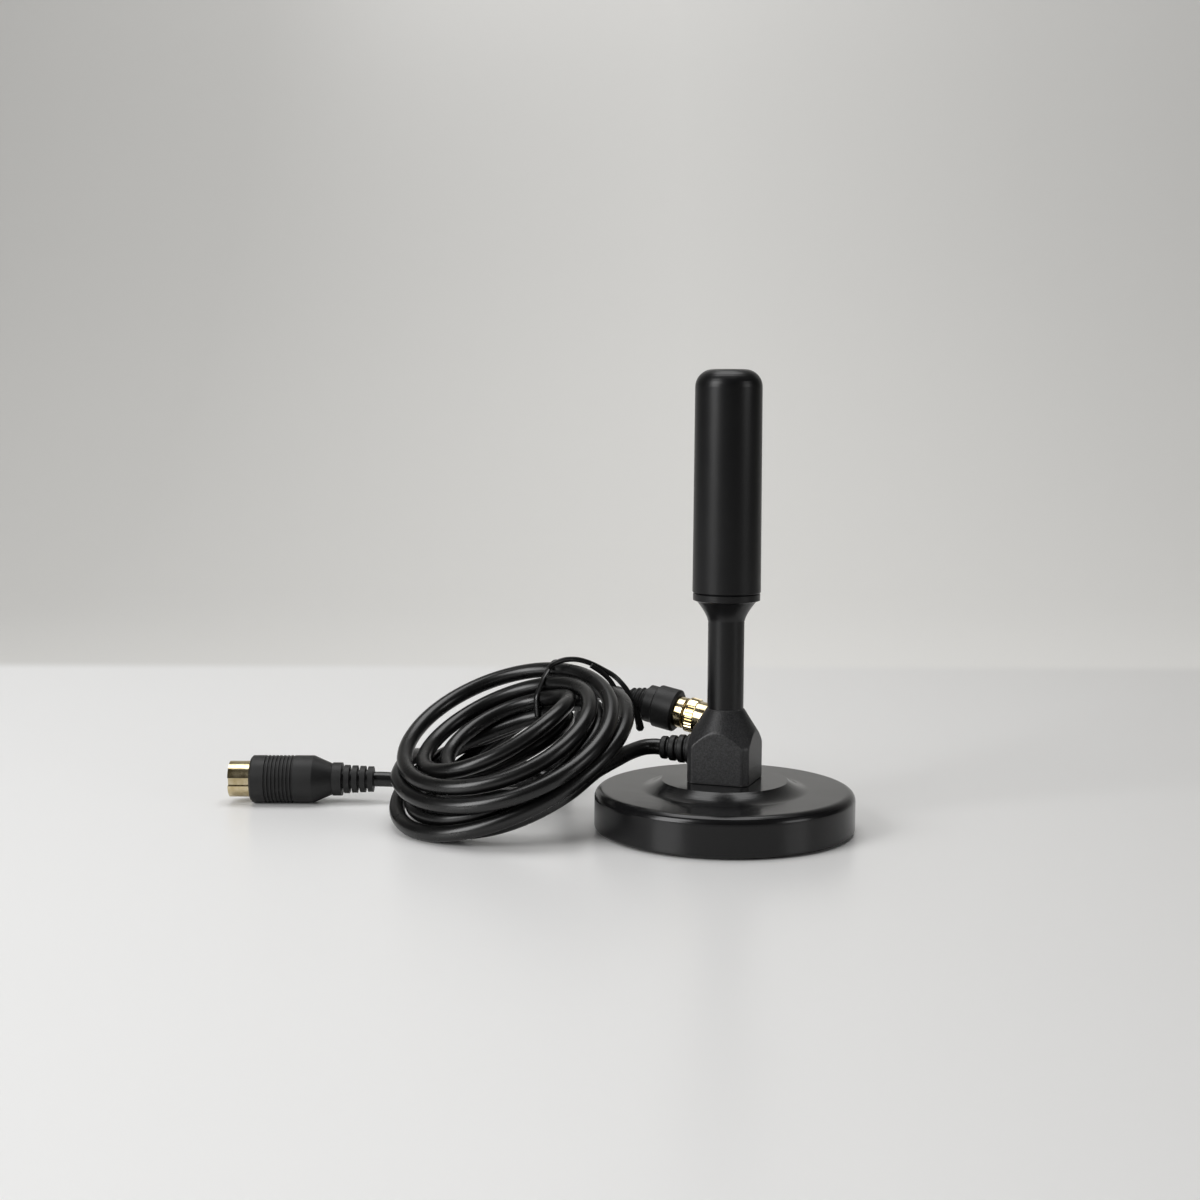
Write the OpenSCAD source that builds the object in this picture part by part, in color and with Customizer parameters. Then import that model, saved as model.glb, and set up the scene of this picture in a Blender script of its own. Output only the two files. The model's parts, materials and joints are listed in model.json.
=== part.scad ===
// Omnidirectional antenna on a round magnetic base, with a coiled lead that splits to two plugs.
// Millimetres. Z is up, the origin is at the middle of the base's underside, and the lead leaves along -X.

/* [Base] */
// Diameter of the round base
base_d = 65; // [56:1:80]
// Height of the base's flat shoulder
base_h = 10.3; // [9.5:0.1:13]
// Height of the raised plateau that carries the boss
plateau_h = 12.5; // [11.5:0.1:15]
// Radius of the plateau's flat top
plateau_r = 15.75; // [12:0.25:18]
// Radius where the plateau's cove meets the shoulder
cove_r = 20.9; // [18.5:0.1:24]
// Radius of the base's upper edge
base_edge_r = 2.2; // [1:0.1:3]
// Wall of the base cover
cover_wall = 2; // [1.6:0.1:2]
// Thickness of the steel plate over the magnet
yoke_t = 1.5; // [1:0.1:2]
// Thickness of the pad under the magnet
pad_t = 1.2; // [0.8:0.1:2]
// Radius of the hole in the magnet
magnet_bore_r = 8; // [6:0.5:12]

/* [Boss] */
// Diameter of the round bar that the boss is turned from
boss_d = 20.4; // [18.4:0.1:24]
// Distance between opposite flats
boss_flats = 15.8; // [14.8:0.1:17.8]
// Height of the boss
boss_h = 18.1; // [16.5:0.1:24]
// Height of the cone at the top of the boss
boss_cone_h = 8.9; // [6:0.1:10]
// Height of the lead's exit above the plateau
exit_h = 7; // [6.5:0.1:8]
// Diameter of the screw that holds the boss
screw_d = 4; // [3:0.5:5]

/* [Stem and head] */
// Diameter of the stem
stem_d = 9; // [8:0.1:11]
// Length of the stem between the boss and the flare
stem_l = 21.9; // [15:0.1:60]
// Height of the flare above the stem, up to its ring
flare_h = 5.1; // [4:0.1:8]
// Height of the ring under the head
ring_h = 1.8; // [1.2:0.1:3]
// Diameter of the ring under the head
ring_d = 16.6; // [15.6:0.1:20]
// Diameter of the head at its lower end
head_d = 16.9; // [15.9:0.1:22]
// How much the head narrows towards its top
head_draft = 0.44; // [0:0.02:0.6]
// Length of the head
head_l = 54.7; // [52:0.1:90]
// Radius of the head's upper edge
head_edge_r = 4.3; // [2:0.1:5]
// Wall of the head
head_wall = 1.2; // [1:0.1:1.4]

/* [Lead and plugs] */
// Diameter of the lead
lead_d = 4; // [3:0.1:4]
// Diameter of the round plug's shell
shell_d = 9.5; // [8.6:0.1:10]
// Diameter of the round plug's grip
grip_d = 12.5; // [11.5:0.1:12.5]
// Length of the round plug's grip
grip_l = 16.5; // [14:0.1:20]
// Diameter of the coupling nut's knurled band
nut_d = 9; // [8.8:0.1:10]
// Length of the coupling nut
nut_l = 6.3; // [6:0.1:8]
// Diameter of the moulded collar behind the coupling nut
collar_d = 11; // [10:0.1:12]
// Radial clearance between the coupling nut and the sleeve it turns on
nut_clear = 0.05; // [0.02:0.01:0.1]

/* [Hidden] */
$fn = 96;

// Colours
satin_black = [0.05, 0.05, 0.055];
rubber_black = [0.03, 0.03, 0.032];
boss_grey = [0.13, 0.13, 0.135];
nickel = [0.8, 0.77, 0.7];
brass = [0.8, 0.62, 0.3];
copper = [0.78, 0.43, 0.28];
steel = [0.6, 0.6, 0.62];
ferrite = [0.16, 0.16, 0.17];
board_green = [0.1, 0.33, 0.18];
foam_white = [0.9, 0.9, 0.88];

// Fits
slip = 0.1;       // radial gap round a piece that is pushed or screwed in
thread_slip = 0.05;
skin = 0.02;      // overlap that keeps one solid in one piece

// Base, from the floor up
base_r = base_d / 2;
rim_lift = 0.5;                           // the cover's rim stays off the floor
rim_edge_r = 0.6;
pad_r = base_r - cover_wall - 0.4;
magnet_r = base_r - cover_wall - 0.7;
yoke_top = base_h - cover_wall;
yoke_bottom = yoke_top - yoke_t;
pillar_r = 6;                             // the cover's inner pillar round the screw
screw_r = screw_d / 2;
screw_head_r = screw_r * 1.9;
screw_head_h = 2.4;
washer_r = screw_head_r + 0.9;
washer_t = 0.8;
screw_grip = 4;                           // length of thread in the boss

// Boss
boss_r = boss_d / 2;
boss_top = plateau_h + boss_h;
cone_z = boss_top - boss_cone_h;
stem_r = stem_d / 2;
boss_neck_r = stem_r + 0.1;
exit_z = plateau_h + exit_h;
exit_bore_r = 2.3;
tenon_r = stem_r - 1.1;
tenon_l = 5.5;
coax_r = 1.3;
coax_bore_r = 1.7;

// Stem, flare and head
flare_z = boss_top + stem_l;
ring_z = flare_z + flare_h;
head_z = ring_z + ring_h;
ring_r = ring_d / 2;
flare_lip_r = ring_r - 0.95;
head_r = head_d / 2;
head_top = head_z + head_l;
head_upper_r = head_r - head_draft / 2;
head_bore_r = head_r - head_draft / 2 - head_wall;
groove = 0.25;                            // chamfers that make the dark line under the head
spigot_r = head_bore_r - slip;
spigot_l = 3.6;

// Inside the head
board_w = 11;
board_t = 1.2;
foil_t = 0.2;
board_z = head_z + spigot_l + 0.3;
board_top = head_top - head_wall - 3.5;
board_y = 1.85;                           // front face of the board, behind the coax
spacer_h = 3.5;
upper_spacer_z = board_top - 9;
spacer_r = head_bore_r - 0.1;
foil_w = 8;
ground_top = board_z + 9;
radiator_z = ground_top + 2;
coax_top = board_z + 7;
ferrule_l = 3.5;
ferrule_r = coax_r + 0.3;

// Boot at the boss
boot_l = 8.6;
boot_r = 3.9;
boot_tip_r = 2.75;
boot_ribs = 4;
flat_x = boss_flats / 2;
lead_r = lead_d / 2;

// Round coil of the lead: about five and a half turns, leaning on its low side
coil_place = [-53.5, -13.5, 21];
coil_heading = 242.5;
coil_tilt = 27;
coil_section = [[22, -8.5], [27, -9.2], [32, -7], [33.6, -5], [33.6, -1.5], [30.5, 4.5], [26.5, 7.8],
    [20.5, 7.8], [18.8, 6.3], [18.8, 2], [20.3, -5]];
tie_w = 2.4;
tie_t = 0.9;
tie_gap = 0.05;
tie_tail_r = 0.8;
tie_tail_route = [[-41, 11.8, 37.2], [-38.6, 11.2, 37.9], [-34, 10.9, 35.9], [-30.5, 10.4, 33.3],
    [-28.4, 10.1, 30], [-27, 10, 25.5], [-26, 10, 19.5]];

// Routes of the lead where it isn't coiled
front_route = [[-16.5, 0, 19.5], [-18.6, -0.4, 19.6], [-21, -2.4, 19.4], [-23.2, -7.4, 18.8],
    [-25.4, -14.2, 17.7], [-28, -21.8, 15.6], [-31.4, -27.3, 12.3], [-35.8, -31.3, 9.4]];
back_route = [[-83, -7.1, 14.2], [-83.3, -2.5, 13.1], [-83.7, 3, 10.9],
    [-84.4, 8.4, 8], [-84.5, 14.2, 5.4], [-83.2, 19.5, 3.9], [-79.8, 23.3, 3.6]];
round_tail_route = [[-62, 27.1, 3.6], [-57.5, 27.7, 2.5], [-52.5, 24.9, 2.1], [-50.1, 20.5, 2.1],
    [-50.2, 15.2, 2.1], [-53.3, 11.4, 2.1], [-58.3, 9.1, 2.1], [-65.9, 6.5, 2.1],
    [-73.4, 3.8, 2.4], [-80.9, 1, 4.1], [-88.4, -1.7, 5.9], [-95, -4.1, 6.25]];
rf_tail_route = [[-63.5, 31.4, 3.6], [-58.5, 32.5, 5], [-54.2, 31.6, 9.3], [-50.8, 29, 15.2],
    [-47.9, 25.9, 20.8], [-45, 23.1, 25.2], [-41.8, 20.5, 28.2], [-38, 18.3, 29.7],
    [-34.2, 16.5, 29.6], [-30.3, 15.4, 28.9]];
y_start = back_route[len(back_route) - 1];
y_ends = [round_tail_route[0], rf_tail_route[0]];
y_r = 3.6;
y_neck_r = 2.9;
y_neck_l = 4;

// Round plug: lies on its grip, s runs back from the shell's mouth
round_tip = [-131, -16.8, 6.25];
round_heading = 19.4;                     // direction from the mouth to the lead
shell_r = shell_d / 2;
shell_wall = 0.45;
shell_step = 0.25;                        // the shell is slimmer inside the grip
shell_out = 5.7;
shell_in = 2.6;
key_w = 2.2;
key_depth = 1.1;
grip_r = grip_d / 2;
grip_taper = 4.9;
grip_collar_r = 4.4;
grip_collar_l = 2.6;
round_boot_l = 8.4;
round_boot_r = 3.75;
round_boot_segments = 4;
grip_grooves = 8;
groove_pitch = 1;
groove_depth = 0.3;
insulator_s = 3.5;
pin_r = 0.35;
pin_ring_r = 2.5;
pin_angles = [40, 80, 140, 220, 280, 320];

// RF plug: s runs back from the nut's mouth
rf_mouth = [-7.4, 13.2, 24.7];
rf_heading = 174.5;                       // direction from the mouth to the lead
rf_rise = 10.3;
nut_r = nut_d / 2;
nut_nose_r = nut_r - 0.4;
nut_thread_r = 2.85;
nut_cavity_r = 3.5;
nut_lip = 1.1;
knurl_l = 2.6;
knurl_count = 30;
knurl_depth = 0.25;
sleeve_r = 3.1;
sleeve_flange_r = nut_cavity_r - 0.1;
sleeve_front_r = 2.3;
sleeve_bore_r = 2.05;
sleeve_ring_r = 4;
sleeve_ring_l = 2.3;
nut_gap = 0.7;
ring_s = nut_l + nut_gap;
rf_grip_s = ring_s + sleeve_ring_l;
collar_r = collar_d / 2;
collar_l = 6.1;
rf_neck_r = collar_r - 0.65;
rf_neck_l = 2.3;
rf_boot_s = rf_grip_s + collar_l + rf_neck_l;
rf_boot_l = 5.6;
rf_boot_r = 4.2;
rf_spigot_l = 3.7;
contact_r = 0.63;

// Points along a circular arc
function arc(x, y, r, from, to, steps = 8) =
    [for (i = [0 : steps]) let (a = from + (to - from) * i / steps) [x + r * cos(a), y + r * sin(a)]];

// Outline of a ribbed boot from its wide end (s = 0), with bulging ribs that shrink towards the tip
function ribs(length, wide, tip, count, depth, steps = 8) =
    [for (i = [0 : count * steps])
        let (t = i / (count * steps), r = wide + (tip - wide) * t)
        [r - depth * pow(cos(180 * count * t), 2) * (t > 0 ? 1 : 0.3), length * t]];

// Unit vector
function unit(v) = v / norm(v);

// Direction of a route at point i
function heading_at(p, i) = unit(p[min(i + 1, len(p) - 1)] - p[max(i - 1, 0)]);

// Tube with flat ends, swept along the points of a route that never runs along the vector level
module tube(points, r, sides = 10, level = [0, 0, 1]) {
    rings = [for (i = [0 : len(points) - 1])
        let (d = heading_at(points, i), u = unit(cross(d, level)), w = cross(d, u))
        [for (k = [0 : sides - 1]) points[i] + r * (cos(360 * k / sides) * u + sin(360 * k / sides) * w)]];
    last = len(points) - 1;
    walls = [for (i = [0 : last - 1], k = [0 : sides - 1])
        [i * sides + k, (i + 1) * sides + k, (i + 1) * sides + (k + 1) % sides,
            i * sides + (k + 1) % sides]];
    start_cap = [for (k = [0 : sides - 1]) k];
    end_cap = [for (k = [sides - 1 : -1 : 0]) last * sides + k];
    polyhedron(points = [for (ring = rings) each ring], faces = [start_cap, end_cap, each walls]);
}

// Turned piece: an outline of [radius, height] points spun round Z
module turned(outline) {
    rotate_extrude() polygon(outline);
}

// Puts +Z along the round plug's axis, from its mouth towards the lead
module at_round_plug() {
    translate(round_tip) rotate([0, 90, round_heading]) children();
}

// Puts +Z along the RF plug's axis, from its mouth towards the lead
module at_rf_plug() {
    translate(rf_mouth) rotate([0, 90 - rf_rise, rf_heading]) children();
}

// Puts Z along the coil's axis, with X up its slope
module at_coil() {
    translate(coil_place) rotate([0, coil_tilt, coil_heading]) rotate([0, 0, 180]) children();
}

// Black cover of the base: a shell with a raised plateau and an inner pillar for the screw
module base_cover() {
    color(satin_black) difference() {
        turned(concat(
            [[0, rim_lift + 0.4], [base_r - cover_wall, rim_lift]],
            arc(base_r - rim_edge_r, rim_lift + rim_edge_r, rim_edge_r, -90, 0, 4),
            arc(base_r - base_edge_r, base_h - base_edge_r, base_edge_r, 0, 90),
            cove_points(),
            [[0, plateau_h]]));
        difference() {
            translate([0, 0, -1]) cylinder(r = base_r - cover_wall, h = yoke_top + 1);
            translate([0, 0, yoke_top]) cylinder(r = pillar_r, h = plateau_h);
        }
        difference() {
            translate([0, 0, yoke_top - skin])
                cylinder(r = plateau_r - 1, h = plateau_h - cover_wall - yoke_top + skin);
            translate([0, 0, yoke_top]) cylinder(r = pillar_r, h = plateau_h);
        }
        cylinder(r = screw_r + 0.2, h = plateau_h + 1);
    }
}

// Hollow curve from the shoulder up to the plateau
function cove_points(steps = 8) =
    [for (i = [0 : steps]) let (t = i / steps)
        [cove_r + (plateau_r - cove_r) * t, base_h + (plateau_h - base_h) * pow(t, 1.7)]];

// Steel plate that closes the magnet's field over its top
module yoke_plate() {
    color(steel) difference() {
        translate([0, 0, yoke_bottom]) cylinder(r = magnet_r, h = yoke_t);
        translate([0, 0, yoke_bottom - 1]) cylinder(r = screw_r + 0.2, h = yoke_t + 2);
    }
}

// Ferrite ring magnet
module magnet_ring() {
    color(ferrite) difference() {
        translate([0, 0, pad_t]) cylinder(r = magnet_r, h = yoke_bottom - pad_t);
        translate([0, 0, pad_t - 1]) cylinder(r = magnet_bore_r, h = yoke_bottom + 1);
    }
}

// Soft pad that the antenna stands on
module base_pad() {
    color(rubber_black) cylinder(r = pad_r, h = pad_t);
}

// Pan-head screw that pulls the boss down on the plateau
module boss_screw() {
    head_top_z = yoke_bottom - washer_t;
    color(steel) difference() {
        union() {
            translate([0, 0, head_top_z - screw_head_h]) cylinder(r = screw_head_r, h = screw_head_h);
            translate([0, 0, head_top_z - skin])
                cylinder(r = screw_r, h = plateau_h + screw_grip - head_top_z + skin);
        }
        for (turn = [0, 90]) rotate([0, 0, turn])
            translate([-screw_r, -0.4, head_top_z - screw_head_h - 1]) cube([screw_d, 0.8, 2.2]);
    }
}

// Washer under the screw's head
module boss_washer() {
    color(steel) difference() {
        translate([0, 0, yoke_bottom - washer_t]) cylinder(r = washer_r, h = washer_t);
        translate([0, 0, yoke_bottom - washer_t - 1]) cylinder(r = screw_r + 0.2, h = washer_t + 2);
    }
}

// Boss: turned from bar with a coned top, then milled with four flats
module boss() {
    color(boss_grey) difference() {
        intersection() {
            turned([[0, plateau_h], [boss_r, plateau_h], [boss_r, cone_z], [boss_neck_r, boss_top],
                [0, boss_top]]);
            translate([-flat_x, -flat_x, plateau_h - 1]) cube([boss_flats, boss_flats, boss_h + 2]);
        }
        translate([0, 0, plateau_h - 1]) cylinder(r = screw_r + thread_slip, h = screw_grip + 1);
        translate([0, 0, exit_z - exit_bore_r]) cylinder(r = exit_bore_r, h = boss_h);
        translate([0, 0, boss_top - tenon_l]) cylinder(r = tenon_r + thread_slip, h = tenon_l + 1);
        translate([0, 0, exit_z]) rotate([0, -90, 0]) cylinder(r = exit_bore_r, h = boss_r);
    }
}

// Ribbed rubber boot where the lead leaves the boss
module boss_boot() {
    color(rubber_black) translate([-flat_x, 0, exit_z]) rotate([0, -90, 0]) difference() {
        union() {
            turned(concat([[0, 0]], ribs(boot_l, boot_r, boot_tip_r, boot_ribs, 0.55), [[0, boot_l]]));
            translate([0, 0, -4]) cylinder(r = exit_bore_r - thread_slip, h = 4 + skin);
        }
        translate([0, 0, -5]) cylinder(r = coax_r + thread_slip, h = boot_l + 4);
    }
}

// Stem: a tube with a threaded tenon at each end
module stem_tube() {
    color(satin_black) difference() {
        union() {
            translate([0, 0, boss_top]) cylinder(r = stem_r, h = stem_l);
            translate([0, 0, boss_top - tenon_l]) cylinder(r = tenon_r, h = stem_l + tenon_l + 4.5);
        }
        translate([0, 0, boss_top - tenon_l - 1]) cylinder(r = coax_bore_r, h = stem_l + tenon_l + 8);
    }
}

// Flare: a trumpet that widens to the ring under the head, with a spigot inside the head
module flare_collar() {
    color(satin_black) difference() {
        turned(concat(
            [[0, flare_z]],
            [for (i = [0 : 10]) let (t = i / 10)
                [stem_r + 0.1 + (flare_lip_r - stem_r - 0.1) * pow(t, 1.4), flare_z + (flare_h - 0.35) * t]],
            [[ring_r, ring_z], [ring_r, head_z - groove], [ring_r - groove, head_z],
                [spigot_r, head_z], [spigot_r, head_z + spigot_l], [0, head_z + spigot_l]]));
        translate([0, 0, flare_z - 1]) cylinder(r = tenon_r + thread_slip, h = 1 + 4.6);
        translate([0, 0, flare_z]) cylinder(r = coax_bore_r, h = head_z + spigot_l);
    }
}

// Head: a thin closed cap that the waves pass through
module head_shell() {
    color(satin_black) difference() {
        turned(concat(
            [[0, head_z], [head_r - groove, head_z], [head_r, head_z + groove]],
            arc(head_upper_r - head_edge_r, head_top - head_edge_r, head_edge_r, 0, 90, 10),
            [[0, head_top]]));
        turned(concat(
            [[0, head_z - 1], [head_bore_r, head_z - 1]],
            arc(head_bore_r - head_edge_r + head_wall, head_top - head_edge_r,
                head_edge_r - head_wall, 0, 90, 6),
            [[0, head_top - head_wall]]));
    }
}

// Glass-fibre board that carries the antenna's foils
module element_board() {
    color(board_green) translate([-board_w / 2, board_y, board_z])
        cube([board_w, board_t, board_top - board_z]);
}

// Copper foil that radiates
module radiator_foil() {
    color(copper) translate([-foil_w / 2, board_y - foil_t, radiator_z])
        cube([foil_w, foil_t, board_top - 2 - radiator_z]);
}

// Copper foil joined to the lead's braid
module ground_foil() {
    color(copper) translate([-foil_w / 2, board_y - foil_t, board_z + 1])
        cube([foil_w, foil_t, ground_top - board_z - 1]);
}

// Foam disc with a slot for the board and its foils
module spacer(z) {
    color(foam_white) difference() {
        translate([0, 0, z]) cylinder(r = spacer_r, h = spacer_h);
        translate([-board_w / 2 - 0.05, board_y - foil_t - 0.05, z - 1])
            cube([board_w + 0.1, board_t + foil_t + 0.1, spacer_h + 2]);
        translate([0, 0, z - 1]) cylinder(r = coax_r + slip, h = spacer_h + 2);
    }
}

// Foam disc at the foot of the board
module lower_spacer() {
    spacer(head_z + spigot_l);
}

// Foam disc near the top of the board
module upper_spacer() {
    spacer(upper_spacer_z);
}

// Inner coax: from the boot, round a bend in the boss and up the stem
module feed_coax() {
    bend_route = [[-flat_x - boot_l + 1.2, 0, exit_z], [-3.4, 0, exit_z], [-1.2, 0, exit_z + 0.7],
        [-0.3, 0, exit_z + 2.3], [0, 0, exit_z + 4.4], [0, 0, coax_top]];
    color(foam_white) tube(bend_route, coax_r, 12, [0, 1, 0]);
}

// Crimp ferrule on the end of the inner coax
module feed_ferrule() {
    color(brass) difference() {
        translate([0, 0, coax_top - ferrule_l]) cylinder(r = ferrule_r, h = ferrule_l);
        translate([0, 0, coax_top - ferrule_l - 1]) cylinder(r = coax_r, h = ferrule_l + 2);
    }
}

// Lead from the boot to the coil
module lead_front() {
    color(rubber_black) tube(front_route, lead_r);
}

// Outer shape of the coiled lead
module lead_coil() {
    color(rubber_black) at_coil() turned(coil_section);
}

// Lead from the coil to the Y joint
module lead_back() {
    color(rubber_black) tube(back_route, lead_r);
}

// Moulded Y joint where the lead splits in two
module lead_y_joint() {
    fork = (y_ends[0] + y_ends[1]) / 2;
    along = unit([fork[0] - y_start[0], fork[1] - y_start[1], 0]);
    turn = atan2(along[1], along[0]);
    color(rubber_black) {
        hull() {
            translate(y_start) rotate([0, 90, turn]) cylinder(r = y_neck_r, h = 0.5, $fn = 32);
            translate(y_start + y_neck_l * along) rotate([0, 90, turn]) cylinder(r = y_r, h = 1, $fn = 32);
            for (end = y_ends) translate(end - y_neck_l * along) rotate([0, 90, turn])
                cylinder(r = y_r, h = 1, $fn = 32);
        }
        for (end = y_ends) hull() {
            translate(end - y_neck_l * along) rotate([0, 90, turn]) cylinder(r = y_r - 0.3, h = 1, $fn = 32);
            translate(end - 0.5 * along) rotate([0, 90, turn]) cylinder(r = lead_r + 0.35, h = 0.5, $fn = 32);
        }
    }
}

// Tail from the Y joint to the round plug
module round_plug_tail() {
    color(rubber_black) tube(round_tail_route, lead_r);
}

// Tail from the Y joint to the RF plug
module rf_plug_tail() {
    color(rubber_black) tube(rf_tail_route, lead_r);
}

// Twist tie: a flat band round the coil's high side, with a hanging tail
module coil_tie() {
    color(satin_black) {
        at_coil() rotate([90, 0, 0]) translate([0, 0, -tie_w / 2]) linear_extrude(height = tie_w)
            difference() {
                offset(delta = tie_gap + tie_t) polygon(coil_section);
                offset(delta = tie_gap) polygon(coil_section);
            }
        tube(tie_tail_route, tie_tail_r, 8);
    }
}

// Outline of the round plug's shell: a circle with a keyway pressed into one side
module keyed_circle(r, grow) {
    difference() {
        circle(r = r);
        translate([0, -shell_r]) square([key_w + 2 * grow, 2 * (key_depth + grow)], center = true);
    }
}

// Pressed nickel shell of the round plug
module round_plug_shell() {
    color(nickel) at_round_plug() difference() {
        union() {
            linear_extrude(height = shell_out) keyed_circle(shell_r, 0);
            linear_extrude(height = shell_out + shell_in) keyed_circle(shell_r - shell_step, 0);
        }
        translate([0, 0, -1]) linear_extrude(height = shell_out + shell_in + 2)
            keyed_circle(shell_r - shell_wall, shell_wall);
    }
}

// Insulator that holds the round plug's pins
module round_plug_insulator() {
    color(satin_black) at_round_plug() translate([0, 0, insulator_s]) difference() {
        linear_extrude(height = shell_out + shell_in - insulator_s)
            keyed_circle(shell_r - shell_wall - thread_slip, shell_wall + thread_slip);
        for (a = pin_angles) rotate([0, 0, a - 90]) translate([pin_ring_r, 0, -1])
            cylinder(r = pin_r + 0.01, h = 4.1);
    }
}

// Contact pins of the round plug
module round_plug_pins() {
    color(nickel) at_round_plug() for (a = pin_angles) rotate([0, 0, a - 90])
        translate([pin_ring_r, 0, 1]) cylinder(r = pin_r, h = insulator_s + 2);
}

// Moulded grip of the round plug, with fine grooves and a tapered end
module round_plug_grip() {
    front = shell_out;
    taper_s = front + grip_l;
    collar_s = taper_s + grip_taper;
    first_groove = front + (grip_l - grip_grooves * groove_pitch) / 2 - 0.4;
    color(rubber_black) at_round_plug() difference() {
        turned(concat(
            [[0, front], [grip_r - 0.5, front], [grip_r, front + 0.5]],
            [for (i = [0 : grip_grooves - 1]) let (s = first_groove + i * groove_pitch)
                each [[grip_r, s], [grip_r - groove_depth, s + 0.2], [grip_r - groove_depth, s + 0.4],
                    [grip_r, s + 0.6]]],
            [[grip_r, taper_s], [grip_collar_r - 0.3, collar_s], [grip_collar_r, collar_s + 0.2],
                [grip_collar_r, collar_s + grip_collar_l], [0, collar_s + grip_collar_l]]));
        translate([0, 0, front - 1]) linear_extrude(height = shell_in + 1)
            keyed_circle(shell_r - shell_step, 0);
    }
}

// Segmented boot behind the round plug's grip
module round_plug_boot() {
    start = shell_out + grip_l + grip_taper + grip_collar_l;
    pitch = round_boot_l / round_boot_segments;
    color(rubber_black) at_round_plug() translate([0, 0, start]) turned(concat(
        [[0, 0]],
        [for (i = [0 : round_boot_segments - 1])
            each [[lead_r + 0.5, i * pitch], [lead_r + 0.5, (i + 0.25) * pitch],
                [round_boot_r - 0.12 * i, (i + 0.3) * pitch], [round_boot_r - 0.12 * i, (i + 0.95) * pitch]]],
        [[lead_r + 0.4, round_boot_l], [0, round_boot_l]]));
}

// Nickel sleeve of the RF plug: outer contact, flange that keeps the nut, and the fixed ring
module rf_plug_sleeve() {
    flange_s = nut_l - nut_lip - 0.8;
    color(nickel) at_rf_plug() difference() {
        turned([[0, 1.2], [sleeve_front_r, 1.2], [sleeve_front_r, flange_s], [sleeve_flange_r, flange_s],
            [sleeve_flange_r, flange_s + 0.7], [sleeve_r, flange_s + 0.7], [sleeve_r, ring_s],
            [sleeve_ring_r - 0.2, ring_s], [sleeve_ring_r, ring_s + 0.2],
            [sleeve_ring_r, rf_grip_s], [sleeve_r, rf_grip_s], [sleeve_r, rf_grip_s + rf_spigot_l],
            [0, rf_grip_s + rf_spigot_l]]);
        translate([0, 0, -1]) cylinder(r = sleeve_bore_r, h = rf_grip_s + rf_spigot_l + 2);
    }
}

// Coupling nut: turns on the sleeve and is kept by its flange
module coupling_nut() {
    knurl_s = nut_l - knurl_l;
    color(nickel) at_rf_plug() difference() {
        turned([[nut_thread_r, 0.3], [nut_thread_r + 0.3, 0], [nut_nose_r - 0.25, 0], [nut_nose_r, 0.25],
            [nut_nose_r, knurl_s], [nut_r, knurl_s + 0.15], [nut_r, nut_l - 0.2], [nut_r - 0.2, nut_l],
            [sleeve_r + nut_clear, nut_l], [sleeve_r + nut_clear, nut_l - nut_lip],
            [nut_cavity_r, nut_l - nut_lip], [nut_cavity_r, nut_l - nut_lip - 1],
            [nut_thread_r, nut_l - nut_lip - 1.6]]);
        for (i = [0 : knurl_count - 1]) rotate([0, 0, 360 * i / knurl_count])
            translate([nut_r, 0, knurl_s + 0.35]) rotate([0, 0, 45])
                cube([knurl_depth * 1.4, knurl_depth * 1.4, 2 * (knurl_l - 0.8)], center = true);
    }
}

// White insulator inside the RF plug
module rf_plug_insulator() {
    color(foam_white) at_rf_plug() difference() {
        translate([0, 0, 1.5]) cylinder(r = sleeve_bore_r - 0.02, h = rf_grip_s);
        cylinder(r = contact_r + 0.01, h = rf_grip_s + 3);
    }
}

// Centre contact of the RF plug, with a pointed end
module rf_plug_pin() {
    color(brass) at_rf_plug() turned([[0, 0.3], [0.3, 0.3], [contact_r, 0.8],
        [contact_r, rf_grip_s + 1], [0, rf_grip_s + 1]]);
}

// Moulded grip of the RF plug: a wide collar and a shorter neck
module rf_plug_grip() {
    neck_s = rf_grip_s + collar_l;
    color(rubber_black) at_rf_plug() difference() {
        turned([[0, rf_grip_s], [collar_r - 0.6, rf_grip_s], [collar_r, rf_grip_s + 0.5],
            [collar_r, neck_s - 0.5], [rf_neck_r, neck_s], [rf_neck_r, rf_boot_s],
            [0, rf_boot_s]]);
        translate([0, 0, rf_grip_s - 1]) cylinder(r = sleeve_r, h = rf_spigot_l + 1);
    }
}

// Ribbed boot of the RF plug
module rf_plug_boot() {
    color(rubber_black) at_rf_plug() translate([0, 0, rf_boot_s])
        turned(concat([[0, 0]], ribs(rf_boot_l, rf_boot_r, boot_tip_r, 4, 0.45), [[0, rf_boot_l]]));
}

base_cover();
yoke_plate();
magnet_ring();
base_pad();
boss_screw();
boss_washer();
boss();
boss_boot();
stem_tube();
flare_collar();
head_shell();
element_board();
radiator_foil();
ground_foil();
lower_spacer();
upper_spacer();
feed_coax();
feed_ferrule();
lead_front();
lead_coil();
lead_back();
lead_y_joint();
round_plug_tail();
rf_plug_tail();
coil_tie();
round_plug_shell();
round_plug_insulator();
round_plug_pins();
round_plug_grip();
round_plug_boot();
rf_plug_sleeve();
coupling_nut();
rf_plug_insulator();
rf_plug_pin();
rf_plug_grip();
rf_plug_boot();
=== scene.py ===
# %% [markdown]
# # An antenna on a magnetic base, with a coiled lead
# This lesson dresses a finished CAD model for a picture. The CAD gives every part its place and size. We
# add what CAD doesn't hold: soft edges, a lead that really winds round and round, and the finish of each
# material.

# %% Load the frame
import json
import math
import bpy
from mathutils import Matrix, Vector, geometry


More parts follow.
